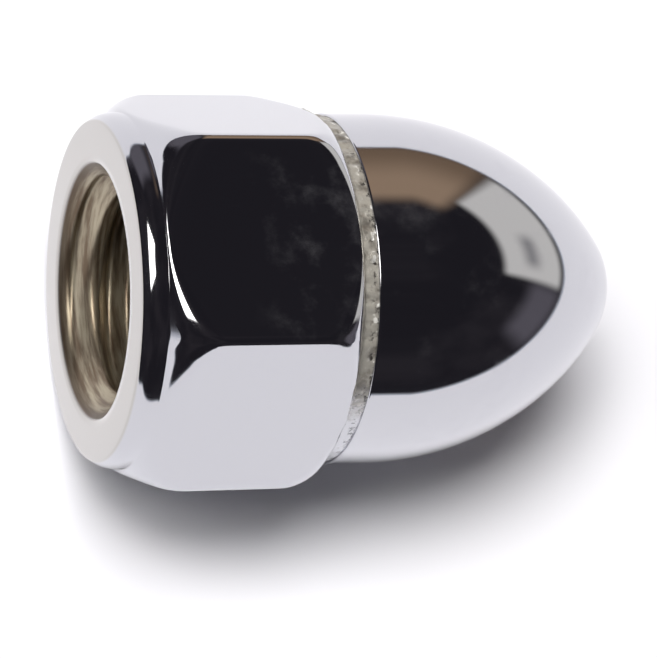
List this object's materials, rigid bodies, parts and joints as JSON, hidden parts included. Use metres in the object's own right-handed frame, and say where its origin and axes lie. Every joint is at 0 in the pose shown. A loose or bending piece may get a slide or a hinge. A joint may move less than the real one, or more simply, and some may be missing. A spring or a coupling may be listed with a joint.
{
  "type": "cap nut",
  "caption": "Bullet-nose cap nut: a short collared hexagon with a threaded bore, closed behind by a welded, hollow, drawn dome.",
  "frame": {"origin": "centre of the seating face at the open end, on the thread axis", "axes": "-X out of the open mouth, +X along the thread axis to the tip of the dome; the nut lies on the flat of its hexagon that faces -Z"},
  "size_m": [0.0218, 0.0164, 0.0142],
  "materials": {
    "hexagon_chrome": "bright plated steel, with a duller, yellowish bore",
    "cap_chrome": "bright plated drawn steel",
    "weld_metal": "rough, pitted weld, thinly plated"
  },
  "bodies": {
    "root": {"hex_body": "hexagon_chrome", "bullet_cap": "cap_chrome", "weld_bead": "weld_metal"}
  },
  "joints": []
}
